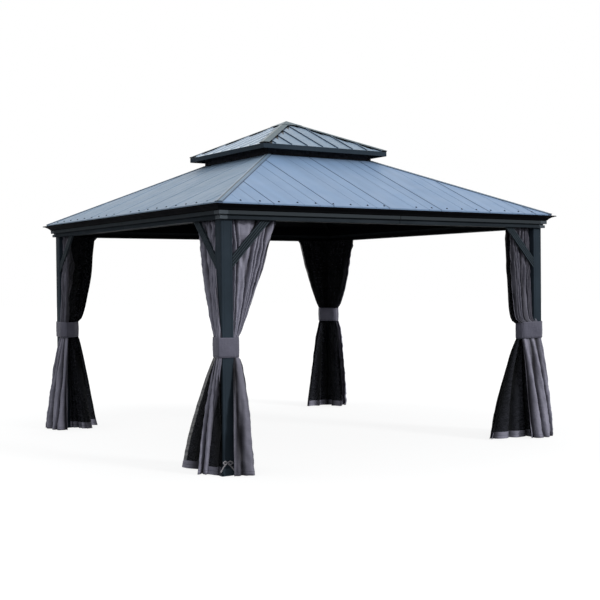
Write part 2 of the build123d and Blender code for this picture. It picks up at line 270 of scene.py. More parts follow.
def lines_at(tree, along, place, pitch, width):
    """1 on lines at a pitch along an axis, one of them at a place, and 0 between them."""
    away = maths(tree, "PINGPONG", maths(tree, "SUBTRACT", along, place), pitch / 2)
    return fading(tree, away, width * 0.3, width * 0.7)


def noise(tree, vector, scale, detail=3.0, roughness=0.55):
    """Cloudy values from 0 to 1."""
    made = add_node(
        tree, "TexNoise", {"Vector": vector}, Scale=scale, Detail=detail, Roughness=roughness)
    return made.outputs["Fac"]


def blend_tints(tree, factor, dark, light, low=0.35, high=0.65):
    """A colour that goes from a dark tint to a light one between two values of a factor."""
    ramp = tree.nodes.new("ShaderNodeValToRGB")
    ramp.color_ramp.elements[0].position = low
    ramp.color_ramp.elements[1].position = high
    ramp.color_ramp.elements[0].color = (*dark, 1)
    ramp.color_ramp.elements[1].color = (*light, 1)
    tree.links.new(factor, ramp.inputs["Fac"])
    return ramp.outputs["Color"]


def span(tree, value, low, high, to_low, to_high):
    """A value carried from one range to another, held at the ends."""
    ends = {"From Min": low, "From Max": high, "To Min": to_low, "To Max": to_high}
    return add_node(tree, "MapRange", {"Value": value}, **ends).outputs["Result"]


def fading(tree, value, low, high, depth=1.0):
    """A depth below a low value that fades to 0 at a high one."""
    return span(tree, value, low, high, depth, 0.0)


def raised(tree, height, strength, distance, under=None):
    """Bump of a height on a surface, over another bump where one is given."""
    links = {"Height": height}
    if under is not None:
        links["Normal"] = under
    return add_node(tree, "Bump", links, Strength=strength, Distance=distance).outputs["Normal"]


def shaded(colour, share):
    """A colour darkened by a share."""
    return tuple(c * (1 - share) for c in colour)


def tints(colour, spread):
    """A darker and a lighter version of a colour."""
    return shaded(colour, spread), tuple(c * (1 + spread) for c in colour)


def uneven_gloss(tree, shader, place, scale, roughness, spread):
    """Give a shader a cloudy roughness, within a spread about its mean."""
    cloud = noise(tree, place, scale)
    gloss = span(tree, cloud, *CLOUD_RANGE, roughness - spread, roughness + spread)
    tree.links.new(gloss, shader.inputs["Roughness"])


def fine_grain(tree, shader, place, scale, strength, distance):
    """Give a shader the bump of a fine grain."""
    grain = noise(tree, place, scale, detail=2)
    tree.links.new(raised(tree, grain, strength, distance), shader.inputs["Normal"])


def plan_reach(tree, place, which):
    """The lesser or the greater distance from the middle along the plan's two axes."""
    return maths(tree, which, *[maths(tree, "ABSOLUTE", axis_of(tree, place, axis)) for axis in "XY"])


def middle_joint(tree, place):
    """Dark hairline where two lengths meet in the middle of a side."""
    return fading(tree, plan_reach(tree, place, "MINIMUM"), *JOINT_FADE), DARK


def painted_shade_in_brace_grooves(tree, place):
    """Painted shade on the floors of the grooves along a brace."""
    floor = POST_OUT - BRACE_SETBACK - BRACE_GROOVE
    away = maths(tree, "ABSOLUTE", maths(tree, "SUBTRACT", plan_reach(tree, place, "MAXIMUM"), floor))
    return fading(tree, away, *GROOVE_FADE), DARK


def painted_light_on_upper_band(tree, place):
    """Painted highlight: a lighter tint on the upper band of a beam, which takes more light."""
    edge = BEAM_TOP - UPPER_BAND_H
    height = axis_of(tree, place, "Z")
    return span(tree, height, edge - BAND_FADE, edge + BAND_FADE, 0.0, 1.0), BAND_HIGHLIGHT_TINT


def low_on_gutter(tree, place, low, high):
    """1 near the foot of a gutter, fading to 0 between two heights over it."""
    return fading(tree, axis_of(tree, place, "Z"), GUTTER_Z + low, GUTTER_Z + high)


def painted_light_on_cove_foot(tree, place):
    """Painted light on the cove of a gutter, paler towards its foot."""
    return low_on_gutter(tree, place, *COVE_FADE), COVE_LIGHT_TINT


def painted_shadow_under_gutter(tree, place):
    """Painted shadow: a dark line along the foot of a gutter, cast on the band below."""
    return low_on_gutter(tree, place, *SHADOW_UNDER_GUTTER_FADE), DARK


def coated_metal(name, colour, roughness=0.5, specular=0.025, marks=()):
    """Powder coat: faint cloudy tint, fine orange peel and uneven gloss, with marks laid over the
    tint, each a function that gives a mask and its tint."""
    material, tree, shader = new_finish(name)
    place = coordinates(tree, "Object")
    tint = blend_tints(tree, noise(tree, place, scale=2.3, detail=5), *tints(colour, COAT_SPREAD))
    for mark in marks:
        mask, shade = mark(tree, place)
        tint = mixed(tree, mask, tint, shade)
    tree.links.new(tint, shader.inputs["Base Color"])
    uneven_gloss(tree, shader, place, 14.0, roughness, spread=0.07)
    fine_grain(tree, shader, place, 420.0, strength=0.25, distance=0.0004)
    shader.inputs["Specular IOR Level"].default_value = specular
    return material


def cap_notches(tree, along, off_cap):
    """Shade in the notches between a hip cap and the sheet, widest at each rib and gone a share of
    the way to the next rib towards the apex."""
    past_rib = maths(tree, "DIVIDE", maths(tree, "SUBTRACT", along, RIB_START), -RIB_PITCH)
    share = maths(tree, "FRACT", maths(tree, "MULTIPLY", past_rib, maths(tree, "SIGN", along)))
    reach = maths(tree, "MULTIPLY_ADD", share, NOTCH_W / NOTCH_SHARE, off_cap)
    return fading(tree, reach, NOTCH_W - NOTCH_FADE, NOTCH_W + NOTCH_FADE)


def painted_shade_below(tree, tint, facing, low, high):
    """Painted shade: a tint that turns dark on faces that look down, by the upright part of their
    direction.
    """
    return mixed(tree, fading(tree, axis_of(tree, facing, "Z"), low, high), tint, DARK)


def roof_coat(name, colour, turn, line_depths, cap_w, edge_depth, rib_shade=0.0):
    """Coated sheet steel in the front's frame turned to a side: soft streaks down the slope, fine
    grain, and painted shade: dark lines at the seams, the two beads between them and the edges of
    the hip caps, dark rib sides and underside, and on a ribbed sheet the shade under its caps."""
    material, tree, shader = new_finish(name)
    place = coordinates(tree, "Object", -turn)
    along = axis_of(tree, place, "X")
    streaks = noise(tree, stretched(tree, place, 9.0, 0.5, 0.5), scale=1.0, detail=4)
    low, high = CLOUD_RANGE
    tint = blend_tints(tree, streaks, *tints(colour, spread=0.07), low, high)
    # Painted shade along the seams and the beads
    for share, depth in zip(LINE_SHARES, line_depths):
        line = lines_at(tree, along, SEAM_START + share * SEAM_PITCH, SEAM_PITCH, LINE_W)
        tint = mixed(tree, maths(tree, "MULTIPLY", line, depth), tint, LINE_SHADE_TINT)
    # Painted shadow along the edge of the hip cap
    off_hip = maths(tree, "MULTIPLY_ADD", axis_of(tree, place, "Y"), -1.0, -cap_w * CAP_REACH)
    off_cap = maths(tree, "SUBTRACT", off_hip, maths(tree, "ABSOLUTE", along))
    tint = mixed(tree, fading(tree, off_cap, *CAP_EDGE_FADE, edge_depth), tint, LINE_SHADE_TINT)
    if rib_shade:
        tint = mixed(tree, cap_notches(tree, along, off_cap), tint, DARK)
    # Painted shade on rib sides, the faces that look along the eave
    facing = tree.nodes.new("ShaderNodeNewGeometry").outputs["True Normal"]
    sideways = maths(tree, "ABSOLUTE", axis_of(tree, turned(tree, facing, -turn), "X"))
    rib_side_shade = span(tree, sideways, 0.5, 0.8, 0.0, rib_shade)
    tint = mixed(tree, rib_side_shade, tint, LINE_SHADE_TINT)
    tint = painted_shade_below(tree, tint, facing, -0.5, -0.3)
    tree.links.new(tint, shader.inputs["Base Color"])
    uneven_gloss(tree, shader, place, 5.0, ROOF_ROUGHNESS, spread=0.06)
    fine_grain(tree, shader, place, 380.0, strength=0.15, distance=0.0003)
    shader.inputs["Specular IOR Level"].default_value = ROOF_SPECULAR
    return material


def cap_coat(name, front, side, ridge):
    """Cap along a hip: one paint as one tint towards the front and back and one towards the sides,
    lighter or darker as painted light, a line of its own tint along the ridge itself and an
    underside dark with painted shade."""
    material, tree, shader = new_finish(name)
    place = coordinates(tree, "Object")
    facing = tree.nodes.new("ShaderNodeNewGeometry").outputs["True Normal"]
    to_side, to_front = (maths(tree, "ABSOLUTE", axis_of(tree, facing, axis)) for axis in "XY")
    cloud = noise(tree, place, scale=6.0, detail=4)
    front_tint, side_tint = (blend_tints(tree, cloud, *tints(c, spread=0.08)) for c in (front, side))
    tint = mixed(tree, maths(tree, "GREATER_THAN", to_side, to_front), front_tint, side_tint)
    across, along = (maths(tree, "ABSOLUTE", axis_of(tree, place, axis)) for axis in "XY")
    off_ridge = maths(tree, "ABSOLUTE", maths(tree, "SUBTRACT", across, along))
    tint = mixed(tree, fading(tree, off_ridge, *RIDGE_FADE), tint, ridge)
    tint = painted_shade_below(tree, tint, facing, -0.35, -0.15)
    tree.links.new(tint, shader.inputs["Base Color"])
    shader.inputs["Roughness"].default_value = ROOF_ROUGHNESS
    shader.inputs["Specular IOR Level"].default_value = ROOF_SPECULAR
    return material


def painted_valley_shade(tree):
    """Painted shade: how deep each point of a cloth lies in a valley between folds, 0 to 1."""
    made = tree.nodes.new("ShaderNodeAttribute")
    made.attribute_name = "valley"
    return made.outputs["Fac"]


def woven_cloth(name, colour, crease=CREASE_PITCH, hem=STITCH_UP):
    """Woven polyester with a slight gloss on the cloth's own flat coordinates: threads, slubs, faint
    packing creases that wander, wrinkles, a stitched line above the hem and painted shade in the
    valleys of folds."""
    material, tree, shader = new_finish(name)
    flat = coordinates(tree, "UV")
    slub = noise(tree, stretched(tree, flat, 3.0, 60.0, 1.0), scale=4.0, detail=4)
    cloud = noise(tree, flat, scale=7.0, detail=4)
    weave = maths(tree, "MULTIPLY", slub, cloud)
    tint = blend_tints(tree, weave, *tints(colour, spread=0.16), low=0.12, high=0.42)
    off_stitch = maths(tree, "ABSOLUTE", maths(tree, "SUBTRACT", axis_of(tree, flat, "Y"), hem))
    tint = mixed(tree, fading(tree, off_stitch, *STITCH_FADE, depth=0.6), tint, shaded(colour, 0.7))
    tint = mixed(tree, painted_valley_shade(tree), tint, shaded(colour, 0.95))
    tree.links.new(tint, shader.inputs["Base Color"])
    warp = add_node(tree, "TexWave", {"Vector": flat}, Scale=THREADS)
    weft = add_node(tree, "TexWave", {"Vector": coordinates(tree, "UV", 90.0)}, Scale=THREADS)
    threads = maths(tree, "MULTIPLY", warp.outputs["Fac"], weft.outputs["Fac"])
    normal = raised(tree, threads, strength=0.2, distance=0.0002)
    for axis in "XY":
        cloud = noise(tree, flat, scale=2.2)
        wobble = maths(tree, "MULTIPLY_ADD", cloud, CREASE_WOBBLE, axis_of(tree, flat, axis))
        away = maths(tree, "PINGPONG", wobble, crease / 2)
        worn = maths(tree, "MULTIPLY", fading(tree, away, 0.0, CREASE_W), noise(tree, flat, scale=5.0))
        normal = raised(tree, worn, strength=0.4, distance=0.004, under=normal)
    wrinkles = noise(tree, stretched(tree, flat, 3.0, 1.6, 1.0), scale=4.0, detail=6, roughness=0.6)
    normal = raised(tree, wrinkles, strength=0.7, distance=0.020, under=normal)
    tree.links.new(normal, shader.inputs["Normal"])
    shader.inputs["Roughness"].default_value = 0.5
    shader.inputs["Specular IOR Level"].default_value = CLOTH_SPECULAR
    return material


def black_netting(name, thin, dense):
    """Fine black mesh that lets some light through, a little uneven in density, with painted shade in
    the valleys of folds.
    """
    material, tree, shader = new_finish(name)
    flat = coordinates(tree, "UV")
    specks = noise(tree, flat, scale=30.0, detail=4)
    tint = blend_tints(tree, specks, *tints(NETTING_TINT, spread=0.35))
    tint = mixed(tree, painted_valley_shade(tree), tint, DARK)
    tree.links.new(tint, shader.inputs["Base Color"])
    cloud = noise(tree, stretched(tree, flat, 2.0, 14.0, 1.0), scale=3.0)
    tree.links.new(span(tree, cloud, *CLOUD_RANGE, thin, dense), shader.inputs["Alpha"])
    mesh_lines = add_node(tree, "TexWave", {"Vector": flat}, Scale=150.0).outputs["Fac"]
    normal = raised(tree, mesh_lines, strength=0.2, distance=0.0003)
    tree.links.new(normal, shader.inputs["Normal"])
    shader.inputs["Roughness"].default_value = 0.85
    shader.inputs["Specular IOR Level"].default_value = CLOTH_SPECULAR
    return material


FRAME_COAT = coated_metal("frame_coat", (0.031, 0.044, 0.058))
BRACE_COAT = coated_metal("brace_coat", (0.042, 0.056, 0.068), marks=(painted_shade_in_brace_grooves,))
BEAM_COAT = coated_metal(
    "beam_coat", (0.030, 0.038, 0.046), 0.65, 0.01, marks=(painted_light_on_upper_band, middle_joint))
FOOT_COAT = coated_metal("foot_coat", (0.050, 0.070, 0.088))
CORNER_COAT = coated_metal("corner_coat", (0.100, 0.118, 0.136), 0.38)
# The gutter is the beam's colour, tinted near-black as painted shade because its cove faces down
GUTTER_COAT = coated_metal(
    "gutter_coat", (0.0035, 0.0036, 0.005), 0.7, 0.01, marks=(painted_light_on_cove_foot, painted_shadow_under_gutter, middle_joint))
INNER_COAT = coated_metal("inner_coat", DARK, 0.7, 0.02)
# Caps: tints towards the front and to the sides are one paint, lighter or darker as painted light; then
# the ridge line
HIP_COAT = cap_coat("hip_cap_coat", (0.155, 0.225, 0.31), (0.31, 0.41, 0.52), (0.095, 0.12, 0.14))
PEAK_COAT = cap_coat("upper_cap_coat", (0.085, 0.125, 0.145), (0.24, 0.29, 0.32), (0.085, 0.12, 0.13))
# Looks of the sheets, one paint lighter or darker towards the front and back and to the sides as
# painted light, the pale upper side tint a painted reflection of the sky: tint, depths of the painted
# seam and bead lines, width of the cap beside the sheet, depth of the painted line along the cap
# and depth of the painted shade on rib sides
MAIN_FRONT = ((0.215, 0.32, 0.485), (0.55, 0.10, 0.30), HIP_CAP_W, 0.7)
MAIN_SIDE = ((0.24, 0.335, 0.45), (0.12, 0.02, 0.05), HIP_CAP_W, 0.1)
UPPER_FRONT = ((0.22, 0.30, 0.39), (0, 0, 0), UPPER_CAP_W, 0.9, 0.75)
UPPER_SIDE = ((0.68, 0.78, 0.88), (0, 0, 0), UPPER_CAP_W, 0.3, 0.5)
SIDE_TURN = {"front": 0, "right": 90, "back": 180, "left": 270}


def sheet_finishes():
    """A finish for each roof sheet, one look towards the front and back and one to the sides, which
    differ as painted light.
    """
    finishes = {}
    for side, turn in SIDE_TURN.items():
        looks = (MAIN_FRONT, UPPER_FRONT) if side in ("front", "back") else (MAIN_SIDE, UPPER_SIDE)
        for tier, (colour, *rest) in zip(("roof", "upper"), looks):
            finishes[f"{tier}_panel_{side}"] = roof_coat(f"{tier}_sheet_{side}", colour, turn, *rest)
    return finishes


# Curtains and ties are one cloth: the curtain's lighter tint gives painted highlights on fold tops
# against its painted valley shade
CURTAIN = woven_cloth("curtain_cloth", (0.330, 0.322, 0.400))
TIE_CLOTH = woven_cloth("tie_cloth", (0.132, 0.130, 0.170), TIE_CREASE_PITCH, TIE_STITCH_UP)
TAPE_CLOTH = woven_cloth("tape_cloth", (0.30, 0.29, 0.31), TIE_CREASE_PITCH)
NETTING = black_netting("netting_mesh", 0.86, 0.96)
VENT_NETTING = black_netting("vent_mesh", 0.93, 0.99)
SCREW_COAT = coated_metal("screw_coat", (0.008, 0.010, 0.014), 0.4)

NODE_FINISH = {
    "post_": FRAME_COAT,
    "braces_": BRACE_COAT,
    "beam_": BEAM_COAT,
    "fascia": FRAME_COAT,
    "foot_": FOOT_COAT,
    "corner_block_": CORNER_COAT,
    "gutter_": GUTTER_COAT,
    "hip_cap_": HIP_COAT,
    "upper_cap_": PEAK_COAT,
    "apex_cap": PEAK_COAT,
    **sheet_finishes(),
}


def dress_nodes():
    """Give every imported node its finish, by the longest matching start of its name."""
    for name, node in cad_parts.items():
        starts = [start for start in NODE_FINISH if name.startswith(start)]
        finish = NODE_FINISH[max(starts, key=len)] if starts else INNER_COAT
        node.data.materials.clear()
        node.data.materials.append(finish)


# Curtains and nettings

# Each bundle hangs beside a post on one side. Its plan is given by places along the rail, and at the
# tie and the hem by points (along the side from the post's inner face, outwards from the middle),
# for the curtain and for the netting. Gather and flare are powers with which the plan spreads away
# from the tie. Pleats are counted to a metre of rail and folds to the whole line, with the folds'
# slant and start in turns. The shades are how far up a fold's side its valley's shade goes.
DEFAULT_BUNDLE = {
    "rail": (0.012, 0.10, 0.200),
    "net_rail": (0.022, 0.10, 0.170),
    "net_waist": ((0.020, 1.645), (0.05, 1.640), (0.08, 1.640)),
    "gather_above": 0.7,
    "gather_below": 0.8,
    "net_flare": 0.8,
    "pleats": 21,
    "folds": 2.2,
    "sweep": 0.3,
    "phase": 0.4,
    "pleat_shade": 1.25,
    "fold_shade": 1.2,
}
BUNDLES = {
    ("front_left", "front"): {
        "rail": (0.012, 0.22, 0.43),
        "waist": ((0.006, 1.695), (0.03, 1.690), (0.058, 1.675)),
        "hem": ((-0.035, 1.788), (0.03, 1.838), (0.084, 1.818)),
        "net_rail": (0.022, 0.18, 0.35),
        "net_waist": ((0.020, 1.645), (0.04, 1.645), (0.055, 1.645)),
        "net_hem": ((0.030, 1.620), (0.14, 1.53), (0.270, 1.50)),
        "gather_above": 0.85,
        "gather_below": 0.4,
        "pleats": 17,
        "folds": 1.05,
        "sweep": -0.3,
        "phase": 0.91,
        "fold_shade": 1.8,
    },
    ("front_left", "left"): {
        "rail": (0.012, 0.18, 0.370),
        "waist": ((-0.102, 1.742), (-0.05, 1.736), (-0.014, 1.722)),
        "hem": ((0.035, 1.785), (0.060, 1.820), (0.085, 1.848)),
        "net_rail": (0.022, 0.17, 0.33),
        "net_waist": ((-0.090, 1.738), (-0.02, 1.732), (0.025, 1.716)),
        "net_hem": ((-0.080, 1.764), (0.20, 1.78), (0.450, 1.77)),
        "gather_below": 1.0,
        "net_flare": 0.9,
        "folds": 1.7,
        "phase": 0.75,
    },
    ("front_right", "front"): {
        "rail": (0.012, 0.13, 0.265),
        "waist": ((-0.060, 1.745), (0.04, 1.72), (0.125, 1.685)),
        "hem": ((-0.130, 1.790), (-0.02, 1.83), (0.105, 1.77)),
        "net_rail": (0.022, 0.12, 0.236),
        "net_waist": ((0.020, 1.645), (0.08, 1.650), (0.140, 1.650)),
        "net_hem": ((0.020, 1.680), (0.24, 1.62), (0.470, 1.60)),
        "gather_above": 0.2,
        "gather_below": 0.75,
        "pleats": 32,
        "folds": 2.6,
        "pleat_shade": 2.4,
    },
    ("front_right", "right"): {
        "waist": ((0.006, 1.712), (0.04, 1.70), (0.080, 1.685)),
        "hem": ((0.000, 1.780), (0.08, 1.83), (0.180, 1.76)),
        "net_hem": ((0.030, 1.620), (0.13, 1.54), (0.260, 1.52)),
    },
    ("back_left", "left"): {
        "waist": ((0.004, 1.720), (0.06, 1.71), (0.110, 1.685)),
        "hem": ((-0.090, 1.825), (0.10, 1.87), (0.210, 1.74)),
        "net_hem": ((0.030, 1.620), (0.12, 1.55), (0.250, 1.53)),
        "pleats": 34,
        "folds": 3.6,
        "pleat_shade": 2.3,
    },
    ("back_left", "back"): {
        "rail": (0.012, 0.13, 0.270),
        "waist": ((0.006, 1.712), (0.05, 1.70), (0.090, 1.685)),
        "hem": ((0.010, 1.760), (0.12, 1.79), (0.220, 1.74)),
        "net_rail": (0.022, 0.14, 0.280),
        "net_waist": ((0.010, 1.640), (0.05, 1.630), (0.090, 1.625)),
        "net_hem": ((0.020, 1.630), (0.13, 1.57), (0.270, 1.60)),
        "gather_above": 0.5,
    },
    ("back_right", "right"): {
        "rail": (0.012, 0.23, 0.465),
        "waist": ((0.006, 1.700), (0.06, 1.69), (0.120, 1.675)),
        "hem": ((0.010, 1.730), (0.09, 1.75), (0.200, 1.70)),
        "net_rail": (0.022, 0.26, 0.510),
        "net_waist": ((0.010, 1.640), (0.08, 1.620), (0.170, 1.610)),
        "net_hem": ((0.020, 1.630), (0.15, 1.58), (0.290, 1.60)),
        "gather_above": 0.62,
        "gather_below": 0.4,
    },
    ("back_right", "back"): {
        "rail": (0.012, 0.16, 0.330),
        "waist": ((0.006, 1.700), (0.04, 1.69), (0.060, 1.675)),
        "hem": ((0.010, 1.740), (0.09, 1.77), (0.190, 1.73)),
        "net_rail": (0.022, 0.21, 0.410),
        "net_waist": ((0.010, 1.640), (0.05, 1.620), (0.105, 1.605)),
        "net_hem": ((0.020, 1.630), (0.16, 1.56), (0.325, 1.60)),
        "gather_below": 0.7,
    },
}
# Distance of the rail's two tracks from the middle
TRACKS = {"rail": 1.664, "net_rail": 1.606}
# The two cloths of a bundle: keys, flat size, grid, how far runs end short of the line as a share of
# it, and the depth of creases
CLOTHS = {
    "curtain": (("rail", "waist", "hem"), CURTAIN_FLAT, CURTAIN_GRID, 0.12, 0.024),
    "netting": (("net_rail", "net_waist", "net_hem"), NETTING_FLAT, NETTING_GRID, 0.02, 0.008),
}
RAGGED_DRAWN = 0.4
# Pleat depths at shares of the height between tie and rail, and the step from run to run there
PLEAT_HEIGHTS = (0.0, 0.12, 0.5, 1.0)
PLEAT_DEPTHS = (0.008, 0.017, 0.027, 0.020)
RUN_STEP_ABOVE = 0.010
# Drawn unevenness of the pleats: places in turns, lean in turns and depth as a share
PLEAT_WANDER = 0.8
PLEAT_LEAN = 0.45
PLEAT_UNEVEN = 0.4
# Pleats are flatter over a share of the line at its ends
END_SHARE = 0.08
END_DEPTH = 0.4
# Broad fold depths and depths of the stack of runs at shares of the height between tie and hem
FOLD_HEIGHTS = (0.0, 0.2, 0.6, 1.0)
FOLD_DEPTHS = (0.006, 0.016, 0.027, 0.030)
STACK_DEPTHS = (0.025, 0.032, 0.040, 0.045)
FOLD_WANDER = 0.12
FOLD_SHARPNESS = 0.8
# Small gathers just below the tie
GATHER_DEPTH = 0.004
GATHER_COUNT = 5.3
# Creases: rates along the line and up, for broad and for fine ones, and how many are left at the tie
BROAD_CREASE = (9, 17)
FINE_CREASE = (19, 37)
FINE_SHARE = 0.4
TIED_CREASE = 0.35
# Least shade in the valleys of the flattest pleats
LEAST_SHADE = 0.6
FIRST_SEED = 11
SEED_STEP = 17
# Cloth to a length of line, at the tie and at the other end
FULL_ABOVE = (1.8, 1.8)
FULL_BELOW = (1.1, 1.3)


def bent_line(points, s):
    """Quadratic curve through the plan from the first point to the last, drawn to the middle one,
    and its direction."""
    first, middle, last = (np.asarray(point, float) for point in points)
    s = s[..., None]
    line = (1 - s) ** 2 * first + 2 * s * (1 - s) * middle + s**2 * last
    return line, 2 * (1 - s) * (middle - first) + 2 * s * (last - middle)


def line_length(points):
    """Length of a plan curve."""
    line, _ = bent_line(points, np.linspace(0, 1, 40))
    return np.sum(np.linalg.norm(np.diff(line, axis=0), axis=1))


def runs_along(flat_width, tied, spread, gather, fullness):
    """Odd number of runs that takes up a cloth's flat width between a tied and a spread line, with
    the width that its folds take on each."""
    tied_full, spread_full = fullness
    mean = tied * tied_full + (spread * spread_full - tied * tied_full) / (1 + gather)
    return 2 * int(flat_width / mean / 2) + 1


def clear_of_post(plan):
    """Move points that lie in the post out through its nearer face, with a little room."""
    along, out = plan[..., 0], plan[..., 1]
    inside = (along > POST_IN - POST_OUT - POST_CLEAR) & (along < POST_CLEAR)
    inside &= (out > POST_IN - POST_CLEAR) & (out < POST_OUT + POST_CLEAR)
    to_front = POST_OUT + POST_CLEAR - out
    to_side = POST_CLEAR - along
    by_front = inside & (to_front < to_side)
    by_side = inside & ~by_front
    out[by_front] = POST_OUT + POST_CLEAR
    along[by_side] = POST_CLEAR


def crumpled(x, y, rates, seed, waves=4):
    """Creases in drawn directions over two axes, each at its rate: the mean of sine waves folded at
    zero, about -0.4 to 0.6."""
    draw = np.random.default_rng(seed)
    turn = draw.uniform(0, pi, waves)
    rate = draw.uniform(0.8, 2.2, waves)
    phase = draw.uniform(0, 2 * pi, waves)
    wave = np.multiply.outer(x * rates[0], np.cos(turn) * rate)
    wave = wave + np.multiply.outer(y * rates[1], np.sin(turn) * rate) + phase
    return 0.6 - np.mean(np.abs(np.sin(wave)), -1)


def round_folds(theta):
    """Round folds with narrow valleys between them, from -1 to 1, one to each turn of theta."""
    return 2 * np.abs(np.sin(theta / 2)) ** FOLD_SHARPNESS - 1


def valleys(theta, width):
    """1 in the valleys between round folds, less up their sides, and least on the folds' tops: a
    smooth step down over the sine of half a turn divided by a width."""
    return 1 - smooth_step(np.abs(np.sin(theta / 2)) / width)


def gathered_cloth(bundle, keys, flat, grid, tie, seed, ragged, crumple):
    """Plan places (along, outwards), heights and depth in a valley, the mask of painted shade, of one
    hung and tied cloth.

    For each height the cloth's line in plan goes from the rail's curve to the tie's and on to the
    hem's. The cloth runs to and fro along that line a number of times, each run a step further out:
    as many runs above the tie and below it as take up its flat width, each short of the line's end
    by up to a ragged share of it. All runs share the same folds: pleats with drawn widths and depths
    above the tie, and a few broad slanting folds below it, with creases over all of it."""
    columns, rows = grid
    tie_low, tie_high = tie
    rail_length, waist_length, hem_length = (line_length(bundle[key]) for key in keys)
    runs_above = runs_along(flat[0], waist_length, rail_length, bundle["gather_above"], FULL_ABOVE)
    runs_below = runs_along(flat[0], waist_length, hem_length, bundle["gather_below"], FULL_BELOW)
    s = np.broadcast_to(np.linspace(0, 1, columns)[None, :], (rows, columns))
    height = np.broadcast_to(np.linspace(CLOTH_TOP, CLOTH_HEM, rows)[:, None], (rows, columns))
    above = np.clip((height - tie_high) / (CLOTH_TOP - tie_high), 0, 1)
    below = np.clip((tie_low - height) / (tie_low - CLOTH_HEM), 0, 1)
    layered = smooth_step((tie_high - height) / (tie_high - tie_low))

    drawn = smooth_noise(s, seed + 5, waves=4, low=0.8, high=3.0)
    reach = 1 - ragged * (1 - s) * (1 - RAGGED_DRAWN * drawn)
    t_above = reach * (1 - np.cos(pi * runs_above * s)) / 2
    t_below = reach * (1 - np.cos(pi * runs_below * s)) / 2
    t = np.clip((1 - layered) * t_above + layered * t_below, 0, 1)
    up, down = above ** bundle["gather_above"], below ** bundle["gather_below"]
    (rail, rail_way), (waist, waist_way), (hem, hem_way) = (bent_line(bundle[key], t) for key in keys)
    plan = waist + (rail - waist) * up[..., None] + (hem - waist) * down[..., None]
    way = waist_way + (rail_way - waist_way) * up[..., None] + (hem_way - waist_way) * down[..., None]
    way /= np.linalg.norm(way, axis=-1, keepdims=True)
    across = np.stack([-way[..., 1], way[..., 0]], -1)

    wander = PLEAT_WANDER * smooth_noise(t, seed, waves=4, low=0.8, high=2.2)
    drift = PLEAT_LEAN * smooth_noise(t * 1.3 + 0.9 * above, seed + 1) * above
    uneven = 1 + PLEAT_UNEVEN * smooth_noise(t * 2, seed + 3)
    off_ends = smooth_step(t / END_SHARE) * smooth_step((1 - t) / END_SHARE)
    ends = END_DEPTH + (1 - END_DEPTH) * off_ends
    pleat_turn = 2 * pi * (bundle["pleats"] * rail_length * t + wander + drift)
    pleats = round_folds(pleat_turn) * np.interp(above, PLEAT_HEIGHTS, PLEAT_DEPTHS) * uneven * ends
    fold_wander = FOLD_WANDER * smooth_noise(t + 0.5 * below, seed + 2, waves=3)
    slant = bundle["sweep"] * below + fold_wander + bundle["phase"]
    fold_turn = 2 * pi * (bundle["folds"] * t + slant)
    folds = round_folds(fold_turn) * np.interp(below, FOLD_HEIGHTS, FOLD_DEPTHS)
    # Painted shade in the valleys, of pleats above the tie and of broad folds below it
    shade = np.clip(uneven, LEAST_SHADE, 1)
    valley = (1 - layered) * valleys(pleat_turn, bundle["pleat_shade"]) * shade
    valley += layered * valleys(fold_turn, bundle["fold_shade"])
    gathers = GATHER_DEPTH * np.sin(2 * pi * (GATHER_COUNT * t + wander)) * (1 - below) ** 2
    creases = crumpled(t, height, BROAD_CREASE, seed + 6)
    creases += FINE_SHARE * crumpled(t, height, FINE_CREASE, seed + 8)
    creases *= crumple * (TIED_CREASE + (1 - TIED_CREASE) * np.maximum(above, below))
    steps_above = RUN_STEP_ABOVE * runs_above * (s - 0.5)
    steps_below = np.interp(below, FOLD_HEIGHTS, STACK_DEPTHS) * (s - 0.5)
    depth = (1 - layered) * (pleats + steps_above) + layered * (folds + gathers + steps_below) + creases
    plan = plan + across * depth[..., None]
    clear_of_post(plan)
    return plan, height.copy(), valley


def side_frame(corner, side):
    """Unit vectors in plan, away from the post along the side, and outwards."""
    outward = np.array(SIDE_OUT[side], float)
    sign = np.array(CORNER_SIGN[corner], float)
    along = -sign * (1 - np.abs(outward))
    return along, outward


def place_cloth(corner, side, plan, height):
    """Points in the frame of a cloth given along its side and outwards."""
    along, outward = side_frame(corner, side)
    flat = along * (plan[..., :1] - POST_IN) + outward * plan[..., 1:]
    return np.concatenate([flat, height[..., None]], -1)


def cloth_faces(corner, side, grid):
    """Quads of a cloth that face outwards on either hand of a post."""
    columns, rows = grid
    faces = grid_faces(rows, columns)
    along, outward = side_frame(corner, side)
    return faces if along[0] * outward[1] - along[1] * outward[0] < 0 else faces[:, ::-1]


def flat_map(grid, flat):
    """Each grid point's place on the flat cloth, in metres."""
    columns, rows = grid
    u, v = np.meshgrid(np.linspace(0, flat[0], columns), np.linspace(flat[1], 0, rows))
    return np.stack([u, v], -1)


def thicken(piece, thickness):
    """Give a sheet its thickness on the inner side."""
    wall = piece.modifiers.new("thickness", "SOLIDIFY")
    wall.thickness = thickness
    wall.offset = -1
    wall.use_rim = True


def tie_span(corner):
    """Lower and upper height of a corner's tie."""
    low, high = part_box(f"tie_{corner}")
    return low.z, high.z


